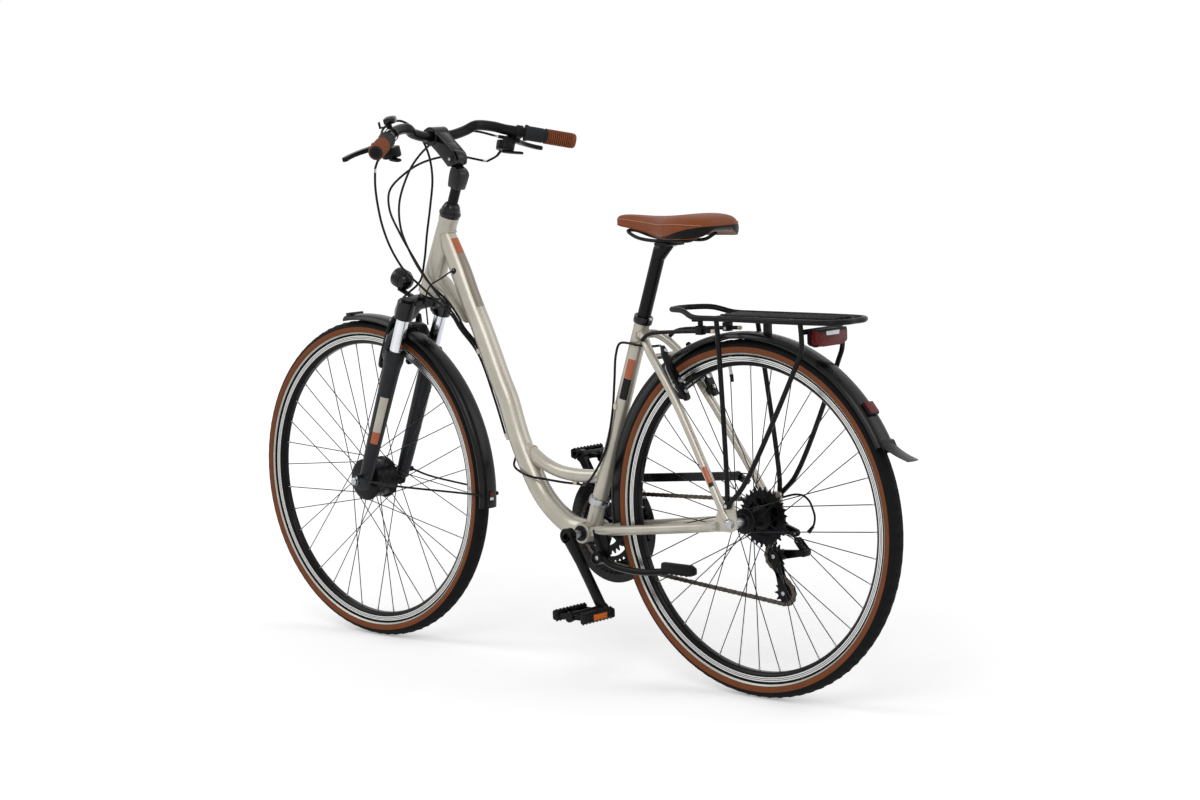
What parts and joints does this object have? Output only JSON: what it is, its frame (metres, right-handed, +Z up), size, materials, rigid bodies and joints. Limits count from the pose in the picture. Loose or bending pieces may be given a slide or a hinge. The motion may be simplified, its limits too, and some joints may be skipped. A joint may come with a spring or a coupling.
{
  "type": "step through bike",
  "caption": "Step-through trekking bicycle with curved low frame, suspension fork, hub-dynamo lights, rack, mudguards, chainguard, derailleur gears and kickstand.",
  "frame": {"origin": "on the ground under the middle of the bicycle's length, width 0 at the wheels' plane", "axes": "+X forward, +Y to the rider's left, +Z up"},
  "size_m": [1.822, 0.5956, 1.1441],
  "materials": {
    "paint": "satin paint",
    "black_metal": "gloss paint",
    "black_alloy": "black anodised",
    "lowers": "satin anthracite",
    "rim": "machined",
    "steel": "zinc plated",
    "chain": "oiled",
    "tyre": "matte",
    "grip": "matte",
    "plastic": "matte",
    "saddle": "smooth",
    "red": "clear red"
  },
  "bodies": {
    "frame": {"frame": "paint", "headset_upper": "black_alloy", "bottom_bracket": "steel", "seat_clamp": "black_alloy", "rear_mudguard": "plastic", "rear_reflector": "red", "rack": "black_alloy", "tail_light": "red", "derailleur_knuckle": "black_alloy", "derailleur_links": "black_alloy", "chain": "chain", "chainguard": "plastic", "front_derailleur": "steel", "rear_axle": "steel", "brake_cable_rear": "plastic", "shift_cable_left": "plastic", "shift_cable_right": "plastic"},
    "seat": {"seat_post": "black_alloy", "saddle_rails": "steel", "saddle": "saddle"},
    "fork_crown": {"fork_crown": "black_alloy", "stem_quill": "black_alloy", "headlight": "plastic"},
    "fork_lowers": {"fork_lowers": "lowers", "front_mudguard": "plastic", "front_axle": "steel", "brake_cable_front": "plastic"},
    "front_wheel": {"front_tyre": "tyre", "front_rim": "rim", "front_hub": "black_alloy"},
    "front_arm_left": {"front_brake_arm_left": "black_alloy"},
    "front_arm_right": {"front_brake_arm_right": "black_alloy"},
    "bar": {"stem_arm": "black_alloy", "handlebar": "black_alloy", "grip_left": "grip", "grip_right": "grip", "brake_clamp_left": "plastic", "brake_clamp_right": "plastic", "bell": "black_metal"},
    "lever_left": {"brake_lever_left": "black_alloy"},
    "lever_right": {"brake_lever_right": "black_alloy"},
    "thumb_left": {"shift_lever_left": "plastic"},
    "thumb_right": {"shift_lever_right": "plastic"},
    "striker": {"bell_striker": "steel"},
    "crank": {"crank_left": "black_alloy", "crank_right": "black_alloy", "chainrings": "steel"},
    "pedal_left": {"pedal_left": "plastic"},
    "pedal_right": {"pedal_right": "plastic"},
    "cassette": {"cassette": "steel"},
    "rear_wheel": {"rear_tyre": "tyre", "rear_rim": "rim", "rear_hub": "black_alloy"},
    "rear_arm_left": {"rear_brake_arm_left": "black_alloy"},
    "rear_arm_right": {"rear_brake_arm_right": "black_alloy"},
    "front_mech": {"front_derailleur_cage": "steel"},
    "mech_cage": {"derailleur_cage": "steel"},
    "jockey_high": {"jockey_upper": "plastic"},
    "jockey_low": {"jockey_lower": "plastic"},
    "kickstand": {"kickstand_leg": "black_alloy"}
  },
  "joints": [
    {"name": "steering", "type": "hinge", "parent": "frame", "child": "fork_crown", "pos_m": [0.32259, 0, 0.84547], "axis": [-0.3746, 0, 0.9272], "range_deg": [-75, 75], "deforming": ["brake_cable_rear", "shift_cable_left", "shift_cable_right"]},
    {"name": "fork_travel", "type": "slide", "parent": "fork_crown", "child": "fork_lowers", "axis": [-0.3746, 0, 0.9272], "range_m": [0, 0.05], "stiffness_N_per_m": 15000, "deforming": ["brake_cable_front"]},
    {"name": "front_wheel_spin", "type": "hinge", "parent": "fork_lowers", "child": "front_wheel", "pos_m": [0.562, 0, 0.349], "axis": [0, 1, 0], "continuous": true},
    {"name": "rear_wheel_spin", "type": "hinge", "parent": "frame", "child": "rear_wheel", "pos_m": [-0.526, 0, 0.349], "axis": [0, 1, 0], "continuous": true},
    {"name": "crank_spin", "type": "hinge", "parent": "frame", "child": "crank", "pos_m": [-0.092, 0, 0.288], "axis": [0, 1, 0], "continuous": true, "deforming": ["chain"]},
    {"name": "cassette_spin", "type": "hinge", "parent": "frame", "child": "cassette", "pos_m": [-0.526, 0, 0.349], "axis": [0, 1, 0], "continuous": true},
    {"name": "pedal_spin_left", "type": "hinge", "parent": "crank", "child": "pedal_left", "pos_m": [-0.19144, 0.138, 0.15012], "axis": [0, 1, 0], "continuous": true},
    {"name": "pedal_spin_right", "type": "hinge", "parent": "crank", "child": "pedal_right", "pos_m": [0.00744, -0.138, 0.42588], "axis": [0, 1, 0], "continuous": true},
    {"name": "kickstand_fold", "type": "hinge", "parent": "frame", "child": "kickstand", "pos_m": [-0.153, 0.045, 0.245], "axis": [0.126, -0.9886, -0.083], "range_deg": [0, 110]},
    {"name": "seat_height", "type": "slide", "parent": "frame", "child": "seat", "axis": [-0.3437, 0, 0.9391], "range_m": [-0.08, 0.06]},
    {"name": "stem_angle", "type": "hinge", "parent": "fork_crown", "child": "bar", "pos_m": [0.26101, 0, 1.04805], "axis": [0, 1, 0], "range_deg": [-30, 10], "deforming": ["brake_cable_front", "brake_cable_rear", "shift_cable_left", "shift_cable_right"]},
    {"name": "brake_lever_left", "type": "hinge", "parent": "bar", "child": "lever_left", "pos_m": [0.29264, 0.19829, 1.08102], "axis": [0, 0.2474, 0.9689], "range_deg": [0, 18], "stiffness_Nm_per_rad": 0.6},
    {"name": "brake_lever_right", "type": "hinge", "parent": "bar", "child": "lever_right", "pos_m": [0.29264, -0.19829, 1.08102], "axis": [0, 0.2474, -0.9689], "range_deg": [0, 18], "stiffness_Nm_per_rad": 0.6},
    {"name": "shift_lever_left", "type": "hinge", "parent": "bar", "child": "thumb_left", "pos_m": [0.28031, 0.16331, 1.05693], "axis": [0, 0.2474, 0.9689], "range_deg": [0, 30], "stiffness_Nm_per_rad": 0.1},
    {"name": "shift_lever_right", "type": "hinge", "parent": "bar", "child": "thumb_right", "pos_m": [0.28031, -0.16331, 1.05693], "axis": [0, 0.2474, -0.9689], "range_deg": [0, 30], "stiffness_Nm_per_rad": 0.1},
    {"name": "bell_strike", "type": "hinge", "parent": "bar", "child": "striker", "pos_m": [0.28794, 0.17002, 1.12086], "axis": [-0.5674, 0.7978, -0.2037], "range_deg": [-8, 25], "stiffness_Nm_per_rad": 0.02},
    {"name": "front_brake_left", "type": "hinge", "parent": "fork_lowers", "child": "front_arm_left", "pos_m": [0.47027, 0.04, 0.61608], "axis": [0.9272, 0, 0.3746], "range_deg": [0, 4], "stiffness_Nm_per_rad": 0.5},
    {"name": "front_brake_right", "type": "hinge", "parent": "fork_lowers", "child": "front_arm_right", "pos_m": [0.47027, -0.04, 0.61608], "axis": [-0.9272, 0, -0.3746], "range_deg": [0, 4], "stiffness_Nm_per_rad": 0.5},
    {"name": "rear_brake_left", "type": "hinge", "parent": "frame", "child": "rear_arm_left", "pos_m": [-0.38857, 0.042, 0.59039], "axis": [0.8392, 0, -0.5437], "range_deg": [0, 4], "stiffness_Nm_per_rad": 0.5},
    {"name": "rear_brake_right", "type": "hinge", "parent": "frame", "child": "rear_arm_right", "pos_m": [-0.38857, -0.042, 0.59039], "axis": [-0.8392, 0, 0.5437], "range_deg": [0, 4], "stiffness_Nm_per_rad": 0.5},
    {"name": "front_mech_swing", "type": "hinge", "parent": "frame", "child": "front_mech", "pos_m": [-0.115, -0.032, 0.388], "axis": [1, 0, 0], "range_deg": [-5, 5], "deforming": ["chain"]},
    {"name": "derailleur_cage_swing", "type": "hinge", "parent": "frame", "child": "mech_cage", "pos_m": [-0.533, -0.05, 0.2695], "axis": [0, 1, 0], "range_deg": [-20, 20], "stiffness_Nm_per_rad": 0.6, "deforming": ["chain"]},
    {"name": "jockey_upper_spin", "type": "hinge", "parent": "mech_cage", "child": "jockey_high", "pos_m": [-0.533, -0.05, 0.2695], "axis": [0, 1, 0], "continuous": true},
    {"name": "jockey_lower_spin", "type": "hinge", "parent": "mech_cage", "child": "jockey_low", "pos_m": [-0.555, -0.05, 0.1987], "axis": [0, 1, 0], "continuous": true}
  ],
  "couplings": [
    {"joint": "cassette_spin", "follows": "crank_spin", "ratio": 2.5714},
    {"joint": "jockey_lower_spin", "follows": "crank_spin", "ratio": 3.2727},
    {"joint": "jockey_upper_spin", "follows": "crank_spin", "ratio": -3.2727},
    {"joint": "front_brake_left", "follows": "brake_lever_left", "ratio": 0.2222},
    {"joint": "front_brake_right", "follows": "brake_lever_left", "ratio": 0.2222},
    {"joint": "rear_brake_left", "follows": "brake_lever_right", "ratio": 0.2222},
    {"joint": "rear_brake_right", "follows": "brake_lever_right", "ratio": 0.2222}
  ]
}
